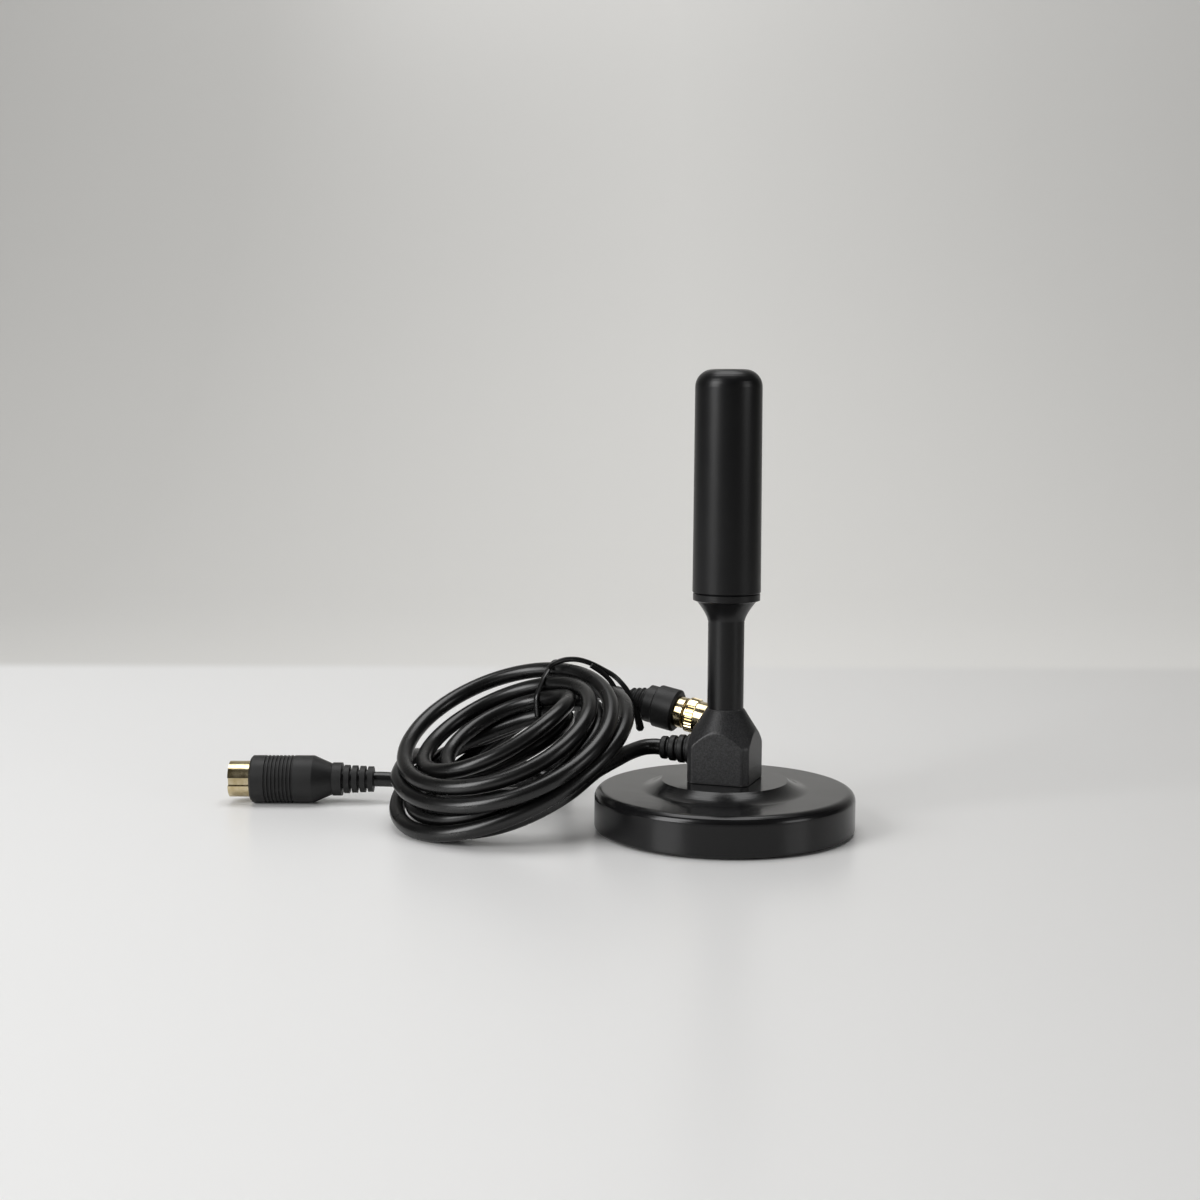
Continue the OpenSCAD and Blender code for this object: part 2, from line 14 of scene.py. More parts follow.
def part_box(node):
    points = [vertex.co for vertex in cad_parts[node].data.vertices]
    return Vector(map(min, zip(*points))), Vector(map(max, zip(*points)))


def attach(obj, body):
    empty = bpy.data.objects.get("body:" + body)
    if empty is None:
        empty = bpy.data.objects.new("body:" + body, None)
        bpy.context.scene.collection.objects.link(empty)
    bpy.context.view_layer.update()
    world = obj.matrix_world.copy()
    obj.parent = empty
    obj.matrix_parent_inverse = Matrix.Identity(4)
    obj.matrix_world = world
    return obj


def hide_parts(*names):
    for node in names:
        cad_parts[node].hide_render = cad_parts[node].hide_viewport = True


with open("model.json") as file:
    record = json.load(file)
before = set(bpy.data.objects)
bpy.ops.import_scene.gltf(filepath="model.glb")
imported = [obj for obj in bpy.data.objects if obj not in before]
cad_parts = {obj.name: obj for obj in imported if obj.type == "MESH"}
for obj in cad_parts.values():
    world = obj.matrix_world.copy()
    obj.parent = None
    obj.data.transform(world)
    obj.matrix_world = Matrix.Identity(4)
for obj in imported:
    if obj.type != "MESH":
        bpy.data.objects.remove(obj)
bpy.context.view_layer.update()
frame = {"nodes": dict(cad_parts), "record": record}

MM = 0.001
record = frame["record"]
nodes = frame["nodes"]

# %% [markdown]
# ## The camera
# The object is looked at from a little to the right of its front and from slightly above, like a product on
# a table. A 54 mm lens from half a metre away keeps the perspective natural. The camera's own axes are
# worked out from its heading and tilt and go straight into its matrix, which avoids a chain of rotations.

# %% Camera
def camera_axes(heading, tilt, roll):
    """Columns of a camera that looks along a heading, tilted down and rolled, all in degrees."""
    h, t, r = (math.radians(a) for a in (heading, tilt, roll))
    look = Vector((math.cos(h) * math.cos(t), math.sin(h) * math.cos(t), -math.sin(t)))
    right = Vector((math.sin(h), -math.cos(h), 0))
    up = right.cross(look)
    right, up = math.cos(r) * right + math.sin(r) * up, math.cos(r) * up - math.sin(r) * right
    return right, up, -look

camera_heading, camera_tilt, camera_roll = 109.4, 6.44, 0.19
right, up, back = camera_axes(camera_heading, camera_tilt, camera_roll)
lens = bpy.data.cameras.new("camera")
lens.lens, lens.sensor_width, lens.clip_start, lens.clip_end = 54, 36, 0.01, 20
camera = bpy.data.objects.new("camera", lens)
bpy.context.scene.collection.objects.link(camera)
place = Vector((117.3, -427.2, 107.3)) * MM
camera.matrix_world = Matrix((
    (right.x, up.x, back.x, place.x), (right.y, up.y, back.y, place.y),
    (right.z, up.z, back.z, place.z), (0, 0, 0, 1)))
bpy.context.scene.camera = camera
print("camera at", [round(v, 4) for v in place])

# %% [markdown]
# ## The coil, turn by turn
# The lead is wound by hand into a leaning coil, so no two turns are the same. A helix would look like a
# spring. Instead we say how far each turn lies from the coil's middle, and how high, at six angles round
# it. A smooth spline through those numbers gives every point of the lead. The coil's own axes come from its
# heading and its lean. The two lists weren't chosen by hand: a separate fitting program made them, so they
# are data rather than something to write yourself. The fit kept each turn where it is seen and about a
# lead's width from the others. For a coil of your own, write a loop with one radius and one height for each
# turn.

# %% Coil points
coil_middle = Vector((-53.5, -13.5, 21))
heading, lean = math.radians(242.5), math.radians(27)
coil_up = Vector((math.sin(lean) * math.cos(heading), math.sin(lean) * math.sin(heading), math.cos(lean)))
coil_slope = Vector((
    -math.cos(lean) * math.cos(heading), -math.cos(lean) * math.sin(heading), math.sin(lean)))
coil_side = coil_slope.cross(coil_up)
floor_z = 2.02  # the lead's own radius: the lowest turn lies on the floor
turn_out = [
    31.5, 26.5, 25.8, 28.6, 19.8, 19.6,
    33.2, 30.4, 27.0, 34.9, 29.4, 14.2,
    23.3, 25.6, 21.7, 31.3, 24.2, 12.0,
    18.0, 15.4, 14.5, 16.3, 15.4, 14.2,
    19.7, 18.0, 15.5, 21.3, 20.7, 20.9,
    22.2, 24.4, 24.7, 25.8, 24.7, 27.8,
    26.9, 28.8, 30.5, 28.2, 28.4, 28.5, 28.7]
turn_up = [
    -9.9, -6.4, -7.4, -7.6, -8.1, -11.2,
    -4.0, -3.3, -4.6, -4.6, -4.8, -7.1,
    -3.4, 0.0, -3.7, -3.1, -4.3, -3.4,
    -3.6, 1.7, 3.2, 0.6, 0.0, 0.6,
    -0.5, 7.8, 6.3, 5.1, 1.5, 1.3,
    2.6, 4.2, 2.5, 5.0, 5.0, 4.4,
    3.5, 0.1, -0.1, 2.1, 2.5, 2.9, 3.3]

def along(values, angle):
    """A smooth value between entries that stand for every 60 degrees."""
    x = angle / 60
    i = min(max(int(x), 1), len(values) - 3)
    t = x - i
    weights = ((1 - t) ** 3, 3 * t ** 3 - 6 * t ** 2 + 4, -3 * t ** 3 + 3 * t ** 2 + 3 * t + 1, t ** 3)
    return sum(w * values[i - 1 + k] for k, w in enumerate(weights)) / 6

def on_coil(angle, out=None, high=None):
    """Point at an angle round the coil, on the lead's centreline unless out and high say otherwise."""
    a = math.radians(angle)
    out = along(turn_out, angle) if out is None else out
    high = along(turn_up, angle) if high is None else high
    point = coil_middle + out * (math.cos(a) * coil_slope + math.sin(a) * coil_side) + high * coil_up
    point.z = max(point.z, floor_z)
    return point

first_angle, last_angle, angle_step = 82.5, 2371, 20.25
point_count = int((last_angle - first_angle) / angle_step + 0.5) + 1
coil_points = [on_coil(first_angle + k * angle_step) for k in range(point_count)]
print(len(coil_points), "points on the coil,", round((last_angle - first_angle) / 360, 2), "turns")

# %% [markdown]
# ## The three stretches of the lead
# The lead leaves the boss, drops on the coil, leaves it again on the far left and goes into a moulded Y
# joint behind. From there one tail makes a floor bend and runs out to the round plug, and the other climbs
# behind the coil to the RF plug. Each is a Bezier curve with a round bevel, the usual way to make a cable,
# because it stays a true tube however it bends. Handles are a third of the way to each neighbour, which
# makes the bends even.

# %% Cords
lead_d = 4.0

def cord_curve(name, points, diameter):
    """A round tube along points in millimetres."""
    data = bpy.data.curves.new(name, "CURVE")
    data.dimensions, data.resolution_u = "3D", 6
    data.bevel_depth, data.bevel_resolution = diameter / 2 * MM, 7
    data.use_fill_caps = True
    spline = data.splines.new("BEZIER")
    spline.bezier_points.add(len(points) - 1)
    for i, p in enumerate(points):
        before, after = points[max(i - 1, 0)], points[min(i + 1, len(points) - 1)]
        run = (after - before).normalized()
        b = spline.bezier_points[i]
        b.handle_left_type = b.handle_right_type = "FREE"
        b.co = p * MM
        b.handle_left = (p - run * (p - before).length / 3) * MM
        b.handle_right = (p + run * (after - p).length / 3) * MM
    piece = bpy.data.objects.new(name, data)
    bpy.context.scene.collection.objects.link(piece)
    return piece

def length_of(piece):
    """Length of the curve's own line in metres."""
    total = 0
    beads = piece.data.splines[0].bezier_points
    for a, b in zip(beads, beads[1:]):
        line = geometry.interpolate_bezier(a.co, a.handle_right, b.handle_left, b.co, 13)
        total += sum((q - p).length for p, q in zip(line, line[1:]))
    return total

def route(points):
    """A list of points in millimetres as vectors."""
    return [Vector(p) for p in points]

front_route = route([
    (-16.5, 0, 19.5), (-18.4, -0.3, 19.6), (-20.4, -1.5, 19.5), (-22, -3.9, 19.2),
    (-23.3, -7.6, 18.8), (-24.6, -12, 18.1), (-26, -16.2, 17.3)])
exit_route = route([
    (-78.6, -22.6, 13.2), (-79.8, -17.2, 14.2), (-80.4, -12.2, 14.6), (-80.8, -7.3, 14.2),
    (-81.1, -2.5, 13), (-81.6, 3, 10.8), (-82.4, 8.6, 8), (-82.6, 14.2, 5.4), (-82, 19.3, 3.9),
    (-79.6, 23.2, 3.6)])
round_route = route([
    (-62, 27.1, 3.6), (-59.8, 27.8, 2.9), (-57.5, 27.7, 2.5), (-54.7, 26.8, 2.2),
    (-52.5, 24.9, 2.1), (-50.8, 23, 2.1), (-50.1, 20.5, 2.1), (-49.8, 17.9, 2.1),
    (-50.2, 15.2, 2.1), (-51.5, 13, 2.1), (-53.3, 11.4, 2.1), (-55.6, 10.2, 2.1), (-58.3, 9.1, 2.1),
    (-65.9, 6.5, 2.1), (-73.4, 3.8, 2.4), (-80.9, 1, 4.1), (-88.4, -1.7, 5.9), (-92.2, -3.1, 6.2),
    (-95.3, -4.2, 6.25)])
rf_route = route([
    (-63.5, 31.4, 3.6), (-60.8, 32.2, 4), (-58.5, 32.5, 5), (-56.2, 32.3, 6.8), (-54.2, 31.6, 9.3),
    (-52.4, 30.4, 12.2), (-50.8, 29, 15.2), (-49.4, 27.5, 18), (-47.9, 25.9, 20.8),
    (-46.5, 24.5, 23.1), (-45, 23.1, 25.2), (-43.5, 21.8, 26.9), (-41.8, 20.5, 28.2),
    (-38, 18.3, 29.7), (-34.2, 16.5, 29.6), (-30.3, 15.4, 28.9)])
trunk = cord_curve("lead_trunk", front_route + coil_points + exit_route, lead_d)
round_tail = cord_curve("tail_to_round_plug", round_route, lead_d)
rf_tail = cord_curve("tail_to_rf_plug", rf_route, lead_d)
for piece in (trunk, round_tail, rf_tail):
    print(piece.name, round(length_of(piece), 3), "m")

# %% [markdown]
# ## The moulded Y joint
# Where the lead splits, a blob of PVC is moulded round the three ends. Moulded parts have no sharp edges:
# the steel of the mould is radiused so that the part comes out. We take the CAD's own shape, turn it into
# small even blocks with a voxel remesh, and let a smoothing pass relax them. That rounds every edge at once
# and keeps the size.

# %% Y joint
def apply_modifiers(piece):
    """Bakes a piece's modifiers into its mesh."""
    graph = bpy.context.evaluated_depsgraph_get()
    baked = bpy.data.meshes.new_from_object(piece.evaluated_get(graph))
    piece.modifiers.clear()
    piece.data = baked
    return piece

def new_piece(name, vertices, faces, smooth=True):
    """A mesh object in millimetres, linked to the scene."""
    mesh = bpy.data.meshes.new(name)
    mesh.from_pydata([tuple(v * MM for v in p) for p in vertices], [], faces)
    mesh.validate()
    mesh.polygons.foreach_set("use_smooth", [smooth] * len(mesh.polygons))
    piece = bpy.data.objects.new(name, mesh)
    bpy.context.scene.collection.objects.link(piece)
    return piece

y_joint = bpy.data.objects.new("y_joint_moulding", nodes["lead_y_joint"].data.copy())
bpy.context.scene.collection.objects.link(y_joint)
remesh = y_joint.modifiers.new("blocks", "REMESH")
remesh.mode, remesh.voxel_size, remesh.use_smooth_shade = "VOXEL", 0.35 * MM, True
relax = y_joint.modifiers.new("relax", "SMOOTH")
relax.factor, relax.iterations = 0.5, 8
apply_modifiers(y_joint)
print("Y joint:", len(y_joint.data.vertices), "vertices")

# %% [markdown]
# ## The twist tie
# A thin PVC strip with a wire core holds the turns together. It goes tightly round all the strands at the
# coil's high side, so its loop is the convex hull of the strands where it passes, pushed out by their
# radius. The long free end is bent over to the right and hangs down, and the short one stays beside it.
# Each of the three is a flat strip swept along a line.

# %% Sweep of a flat strip
def sweep(name, line, widths, thickness, towards, closed=False, sides=12):
    """Sweeps an oval along a line. Its wide side is kept square to the direction called towards."""
    rings = []
    count = len(line)
    for i, p in enumerate(line):
        after = line[(i + 1) % count] if closed else line[min(i + 1, count - 1)]
        before = line[i - 1] if closed else line[max(i - 1, 0)]
        run = (after - before).normalized()
        across = run.cross(towards[i]).normalized()
        face = across.cross(run).normalized()
        w = widths[i] / 2
        rings.append([p + across * w * math.cos(a) + face * thickness / 2 * math.sin(a)
                      for a in (2 * math.pi * k / sides for k in range(sides))])
    vertices = [v for ring in rings for v in ring]
    faces = []
    for i in range(count if closed else count - 1):
        j = (i + 1) % count
        for k in range(sides):
            m = (k + 1) % sides
            faces.append((i * sides + k, i * sides + m, j * sides + m, j * sides + k))
    if not closed:
        faces.append(tuple(range(sides))[::-1])
        faces.append(tuple((count - 1) * sides + k for k in range(sides)))
    return new_piece(name, vertices, faces)

def smooth_line(points, steps=8):
    """More points on a smooth line through the given ones."""
    points = [2 * points[0] - points[1], *points, 2 * points[-1] - points[-2]]
    line = []
    for a, b, c, d in zip(points, points[1:], points[2:], points[3:]):
        for k in range(steps):
            t = k / steps
            line.append(0.5 * ((2 * b) + (c - a) * t + (2 * a - 5 * b + 4 * c - d) * t ** 2
                               + (3 * b - a - 3 * c + d) * t ** 3))
    return line + [points[-2]]

# %% Tie
tie_angle, tie_width, tie_thickness = -12, 1.5, 0.75
turns_held, tie_slack = 6, 0.05
strands = [(along(turn_out, tie_angle + 360 * k), along(turn_up, tie_angle + 360 * k))
           for k in range(1, turns_held + 1)]
reach = lead_d / 2 + tie_thickness / 2 + tie_slack
spots = [(out + reach * math.cos(a), high + reach * math.sin(a))
         for out, high in strands for a in (2 * math.pi * k / 24 for k in range(24))]
hull = [spots[i] for i in geometry.convex_hull_2d(spots)]
loop = []
for (x0, z0), (x1, z1) in zip(hull, hull[1:] + hull[:1]):
    parts = max(1, int(math.hypot(x1 - x0, z1 - z0) / 0.8))
    loop += [on_coil(tie_angle, x0 + (x1 - x0) * k / parts, z0 + (z1 - z0) * k / parts)
             for k in range(parts)]
centre = sum(loop, Vector()) / len(loop)
outwards = [p - centre for p in loop]
tie_loop = sweep("tie_loop", loop, [tie_width] * len(loop), tie_thickness, outwards, closed=True)

# The long end widens over its last third and narrows again at the very tip, and it twists as it hangs.
tail_line = smooth_line(route([
    (-48.2, 2.9, 37.6), (-47, 4.1, 38.6), (-44.9, 6.5, 39.4), (-42.2, 9, 39.2), (-39.3, 11.1, 38),
    (-36.5, 12.4, 36.4), (-33.9, 13, 34.9), (-31.6, 12.7, 33.1), (-29.6, 12.4, 30.8),
    (-28.1, 11.8, 27.9), (-26.8, 11.2, 25.2), (-26, 10.8, 23), (-25.5, 10.3, 21.2)]))
share = [i / (len(tail_line) - 1) for i in range(len(tail_line))]
twist = [Matrix.Rotation(math.radians(70 - 52 * s), 3, "Z") @ Vector((0, -1, 0.25)) for s in share]
tail_widths = [1.4 + 0.8 * max(0, s - 0.7) / 0.3 - 1.2 * max(0, s - 0.97) / 0.03 for s in share]
tie_tail = sweep("tie_tail", tail_line, tail_widths, tie_thickness, twist)
end_line = smooth_line(route([
    (-39.3, 10.4, 37.7), (-36.8, 11.4, 35.9), (-34.6, 11.6, 34), (-33, 11.3, 32), (-32.1, 11, 30.2)]))
end_widths = [1.3 if i < len(end_line) - 2 else 0.8 for i in range(len(end_line))]
end_faces = [Vector((0.5, -1, 0.3))] * len(end_line)
tie_end = sweep("tie_short_end", end_line, end_widths, tie_thickness, end_faces)
tie_round = sum((b - a).length for a, b in zip(loop, loop[1:]))
tie_top = max(loop, key=lambda p: p.z)
print("tie loop", round(tie_round, 1), "mm round, its top at", [round(v, 1) for v in tie_top])

# %% [markdown]
# ## The boss with soft edges
# The boss is turned from bar with a coned top and then milled with four flats. Machined edges are always
# broken a little, and that thin rounded edge is what catches the light along each arch. CAD edges are
# perfectly sharp, so the boss is made again as one surface round its axis: at each height and angle it is
# as wide as the turned outline or the flat allows, and the two blend over less than half a millimetre. A
# boolean and a bevel would be the other way, but bevels break where a curved arch meets a corner.

# %% Boss
boss_low, boss_high = (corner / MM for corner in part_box("boss"))
boss_base, boss_top = boss_low.z, boss_high.z
bar_r, flat_r, neck_r, cone_z = 10.2, boss_high.x, 4.6, boss_top - 8.9
cone_blend, arch_blend, foot_round, top_round = 0.4, 0.22, 0.25, 0.2

def soft_least(a, b, blend):
    """The smaller of two widths, blended where they are close."""
    h = max(blend - abs(a - b), 0) / blend
    return min(a, b) - h * h * blend / 4

def boss_width(angle, z):
    """How far the boss reaches from its axis at an angle and a height, with its foot and top rounded."""
    cone = bar_r + (neck_r - bar_r) * (z - cone_z) / (boss_top - cone_z)
    square = math.radians((angle + 45) % 90 - 45)
    width = soft_least(soft_least(bar_r, cone, cone_blend), flat_r / math.cos(square), arch_blend)
    foot = foot_round * max(0, 1 - (z - boss_base) / foot_round) ** 2
    top = top_round * max(0, 1 - (boss_top - z) / top_round) ** 2
    return width - foot - top

boss_angles = [k * 1.0 for k in range(360)]
boss_steps = 84
straight = boss_top - boss_base - foot_round - top_round
boss_heights = [boss_base + d for d in (0, 0.06, 0.13, foot_round)]
boss_heights += [boss_base + foot_round + straight * k / boss_steps for k in range(1, boss_steps)]
boss_heights += [boss_top - d for d in (top_round, 0.1, 0.04, 0)]
boss_vertices = []
for z in boss_heights:
    for angle in boss_angles:
        out, a = boss_width(angle, z), math.radians(angle)
        boss_vertices.append((out * math.cos(a), out * math.sin(a), z))
ring = len(boss_angles)
boss_faces = [(i * ring + k, i * ring + (k + 1) % ring, (i + 1) * ring + (k + 1) % ring, (i + 1) * ring + k)
              for i in range(len(boss_heights) - 1) for k in range(ring)]
last_ring = (len(boss_heights) - 1) * ring
boss_faces += [tuple(range(ring))[::-1], tuple(range(last_ring, last_ring + ring))]
boss = new_piece("boss_machined", boss_vertices, boss_faces)
boss.data.set_sharp_from_angle(angle=math.radians(50))
print("boss", round(boss_top - boss_base, 2), "mm tall,", len(boss_faces), "faces")

# %% [markdown]
# ## Ribbed boots
# A boot keeps the lead from kinking where it enters something stiff. It is a row of rings with gaps, so
# that it bends in a fair curve. The rings get smaller towards the lead. We draw half of one boot's outline,
# round its corners, and spin it, which is how turned and moulded round parts are usually made.

# %% Turned pieces
def rounded(outline, radius, steps=4):
    """Replaces each inner corner of an outline with a small curve."""
    result = [outline[0]]
    for a, b, c in zip(outline, outline[1:], outline[2:]):
        a, b, c = Vector(a), Vector(b), Vector(c)
        cut = min(radius, (b - a).length * 0.45, (c - b).length * 0.45)
        p, q = b + (a - b).normalized() * cut, b + (c - b).normalized() * cut
        for k in range(steps + 1):
            t = k / steps
            result.append(tuple((1 - t) ** 2 * p + 2 * t * (1 - t) * b + t * t * q))
    return result + [outline[-1]]

def turned(name, outline, origin, axis, segments=96):
    """Spins an outline of (radius, distance) points round an axis."""
    z = axis.normalized()
    x = z.orthogonal().normalized()
    y = z.cross(x)
    vertices = [tuple(origin + z * s + (x * math.cos(a) + y * math.sin(a)) * r)
                for r, s in outline for a in (2 * math.pi * k / segments for k in range(segments))]
    faces = [(i * segments + k, i * segments + (k + 1) % segments,
              (i + 1) * segments + (k + 1) % segments, (i + 1) * segments + k)
             for i in range(len(outline) - 1) for k in range(segments)]
    piece = new_piece(name, vertices, faces)
    piece.data.set_sharp_from_angle(angle=math.radians(40))
    return piece

def ring_row(length, wide, narrow, rings, gap, depth):
    """Outline of a boot: rings that shrink from wide to narrow, with gaps that are this deep."""
    pitch = (length + gap) / rings
    outline = [(0.1, 0.0)]
    for k in range(rings):
        r = wide + (narrow - wide) * k / (rings - 1)
        outline += [(r, k * pitch), (r, (k + 1) * pitch - gap)]
        if k < rings - 1:
            outline += [(r - depth, (k + 1) * pitch - gap), (r - depth, (k + 1) * pitch)]
    return outline + [(0.1, length)]

# %% Boot at the boss
boot_length, lead_exit_z = 8.6, 19.5
boot_base = Vector((-flat_r, 0, lead_exit_z))
boot_outline = rounded(ring_row(boot_length, wide=3.88, narrow=2.9, rings=4, gap=0.75, depth=0.95), 0.55)
boot = turned("boss_boot_moulding", boot_outline, boot_base, Vector((-1, 0, 0)))
print("boot from x", round(boot_base.x, 2), "to", round(boot_base.x - boot_length, 2), "mm")

# %% [markdown]
# ## Materials: the tools
# Every material is one shader with nodes in front of its colour, roughness and bump. Colours are written as
# sRGB hex, the way a colour picker gives them, and one function turns them into the linear values that the
# renderer needs. One small helper adds any node, sets it and links it, so that each material reads like a
# recipe.

# %% Material helpers
def linear(hex_colour):
    """sRGB hex to linear RGBA."""
    parts = [int(hex_colour[i:i + 2], 16) / 255 for i in (1, 3, 5)]
    return (*[c / 12.92 if c <= 0.04045 else ((c + 0.055) / 1.055) ** 2.4 for c in parts], 1)

def add(tree, kind, links=None, **settings):
    """Adds a node. Settings are inputs or attributes, and links say which socket feeds which input."""
    item = tree.nodes.new(kind)
    for key, value in settings.items():
        name = key.replace("_", " ")
        named = [i for i in item.inputs if i.name.lower() == name]
        if named and not hasattr(item, key):
            named[0].default_value = value
        else:
            setattr(item, key, value)
    for key, socket in (links or {}).items():
        tree.links.new(socket, item.inputs[key])
    return item

def new_material(name, colour, roughness, metallic=0.0, ior=1.5, specular=0.5):
    """A material with its shader, and the coordinates that its patterns use, in metres on the object."""
    made = bpy.data.materials.new(name)
    made.use_nodes = True
    tree = made.node_tree
    shader = tree.nodes["Principled BSDF"]
    shader.inputs["Base Color"].default_value = linear(colour)
    shader.inputs["Roughness"].default_value = roughness
    shader.inputs["Metallic"].default_value = metallic
    if not metallic:
        shader.inputs["IOR"].default_value = ior
        shader.inputs["Specular IOR Level"].default_value = specular
    where = add(tree, "ShaderNodeTexCoord").outputs["Object"]
    return made, tree, shader, where

def per_mm(size_mm):
    """Scale of a pattern whose grains are this many millimetres apart."""
    return 1000 / size_mm

def tint(tree, shader, factor, dark, light, start=0.0, stop=1.0):
    """Runs the shader's colour between two hex values, over a stretch of the pattern."""
    ramp = add(tree, "ShaderNodeValToRGB", {"Fac": factor})
    ramp.color_ramp.elements[0].position, ramp.color_ramp.elements[1].position = start, stop
    ramp.color_ramp.elements[0].color, ramp.color_ramp.elements[1].color = linear(dark), linear(light)
    tree.links.new(ramp.outputs["Color"], shader.inputs["Base Color"])

def vary_roughness(tree, shader, factor, low, high):
    """Runs the shader's roughness between two values."""
    spread = add(tree, "ShaderNodeMapRange", {"Value": factor}, to_min=low, to_max=high)
    tree.links.new(spread.outputs["Result"], shader.inputs["Roughness"])

def relief(tree, shader, height, depth_mm, strength=1.0, below=None):
    """Adds a bump that is this deep, on top of another one if there is one."""
    links = {"Height": height}
    if below:
        links["Normal"] = below
    bump = add(tree, "ShaderNodeBump", links, strength=strength, distance=depth_mm * MM)
    tree.links.new(bump.outputs["Normal"], shader.inputs["Normal"])
    return bump.outputs["Normal"]

print("linear value of a mid grey:", round(linear("#808080")[0], 3))

# %% [markdown]
# ## Base: glossy moulded ABS
# The base is injection-moulded ABS from a polished mould. The eye sees a deep black with clear but slightly
# soft reflections, a faint orange peel about two millimetres across, and hair-fine handling marks that only
# show in the gloss. The marks are a stretched noise in the roughness, so they don't change the colour.

# %% Polished ABS
abs_polished, tree, shader, where = new_material("polished_black_abs", "#0e0e0f", 0.26, specular=0.36)
peel = add(tree, "ShaderNodeTexNoise", {"Vector": where}, scale=per_mm(2.2), detail=2)
squeeze = add(tree, "ShaderNodeMapping", {"Vector": where}, rotation=(0, 0, 0.5))
squeeze.inputs["Scale"].default_value = (1, 14, 1)
marks = add(tree, "ShaderNodeTexNoise", {"Vector": squeeze.outputs["Vector"]}, scale=per_mm(9), detail=6)
haze = add(tree, "ShaderNodeTexNoise", {"Vector": where}, scale=per_mm(14), detail=3)
mixed = add(tree, "ShaderNodeMath", {0: marks.outputs["Fac"], 1: haze.outputs["Fac"]}, operation="MULTIPLY")
vary_roughness(tree, shader, mixed.outputs["Value"], 0.17, 0.34)
tint(tree, shader, haze.outputs["Fac"], "#0c0c0d", "#121213")
relief(tree, shader, peel.outputs["Fac"], 0.0018)
print(abs_polished.name)

# %% [markdown]
# ## Head: ABS from a textured mould
# The head's mould is spark-eroded to a very fine matt texture, a tenth of a millimetre, so the head shows
# one broad soft highlight down its side and no clear reflection. At this size the grain is drawn a little
# coarser than it is, or it would vanish.

# %% Textured ABS
abs_textured, tree, shader, where = new_material("spark_textured_black_abs", "#0d0d0e", 0.34, specular=0.32)
grain = add(tree, "ShaderNodeTexNoise", {"Vector": where}, scale=per_mm(0.28), detail=3)
cloud = add(tree, "ShaderNodeTexNoise", {"Vector": where}, scale=per_mm(11), detail=3)
vary_roughness(tree, shader, cloud.outputs["Fac"], 0.29, 0.38)
tint(tree, shader, cloud.outputs["Fac"], "#0b0b0c", "#101011")
relief(tree, shader, grain.outputs["Fac"], 0.008)
print(abs_textured.name)

# %% [markdown]
# ## Stem and flare: turned and anodised aluminium
# These are turned on a lathe and anodised black. Turning leaves very fine rings round the axis, which
# anodising keeps. The rings are a wave along the height, a quarter of a millimetre apart. Anodic film is a
# clear oxide with dye in it, so it shines like a plastic rather than a bare metal, and gets a dielectric
# shader.

# %% Turned black anodising
anodised_turned, tree, shader, where = new_material(
    "turned_black_anodised_aluminium", "#0d0d0e", 0.32, specular=0.35)
rings = add(tree, "ShaderNodeTexWave", {"Vector": where}, wave_type="BANDS", bands_direction="Z",
            scale=per_mm(0.8), distortion=1.5, detail=2)
cloud = add(tree, "ShaderNodeTexNoise", {"Vector": where}, scale=per_mm(6), detail=3)
vary_roughness(tree, shader, cloud.outputs["Fac"], 0.27, 0.36)
tint(tree, shader, cloud.outputs["Fac"], "#0b0b0c", "#111112")
relief(tree, shader, rings.outputs["Fac"], 0.0015)
print(anodised_turned.name)

# %% [markdown]
# ## Boss: bead-blasted and anodised aluminium
# The boss is blasted with fine beads before it is anodised. That leaves close dimples a fifth of a
# millimetre across, and each one sparkles a little on its own, so the flats look grainy and a shade lighter
# than the smooth parts. The rounded edges get a painted highlight: their colour is lifted towards a pale
# grey that stands in for the thin line of light they catch. Pointiness finds them without painting by hand.

# %% Blasted black anodising
anodised_blasted, tree, shader, where = new_material(
    "blasted_black_anodised_aluminium", "#1c1c1d", 0.4, specular=0.4)
dimples = add(tree, "ShaderNodeTexVoronoi", {"Vector": where}, scale=per_mm(0.3))
speckle = add(tree, "ShaderNodeTexNoise", {"Vector": where}, scale=per_mm(0.35), detail=4, roughness=0.7)
ramp = add(tree, "ShaderNodeValToRGB", {"Fac": speckle.outputs["Fac"]})
ramp.color_ramp.elements[0].position, ramp.color_ramp.elements[1].position = 0.38, 0.66
ramp.color_ramp.elements[0].color, ramp.color_ramp.elements[1].color = linear("#141415"), linear("#343435")
# Painted highlight: where pointiness finds a rounded edge, the colour is mixed towards pale grey #6a6a69 in
# place of the light that the edge catches.
edges = add(tree, "ShaderNodeMapRange", {"Value": add(tree, "ShaderNodeNewGeometry").outputs["Pointiness"]},
            from_min=0.515, from_max=0.56)
painted_edge_highlight = add(tree, "ShaderNodeMix", {0: edges.outputs["Result"], 6: ramp.outputs["Color"]}, data_type="RGBA")
painted_edge_highlight.inputs[7].default_value = linear("#6a6a69")
tree.links.new(painted_edge_highlight.outputs[2], shader.inputs["Base Color"])
vary_roughness(tree, shader, speckle.outputs["Fac"], 0.3, 0.46)
relief(tree, shader, dimples.outputs["Distance"], 0.03)
print(anodised_blasted.name)

# %% [markdown]
# ## Lead: extruded PVC
# The sheath is soft PVC pushed through a die. It has a low gloss, drawn lines along its length and soft
# long waves where it has been handled. A curve's own texture coordinates would need unwrapping, so fine
# noise in object space stands in for the drawn lines, shallow enough that only the highlights break up.

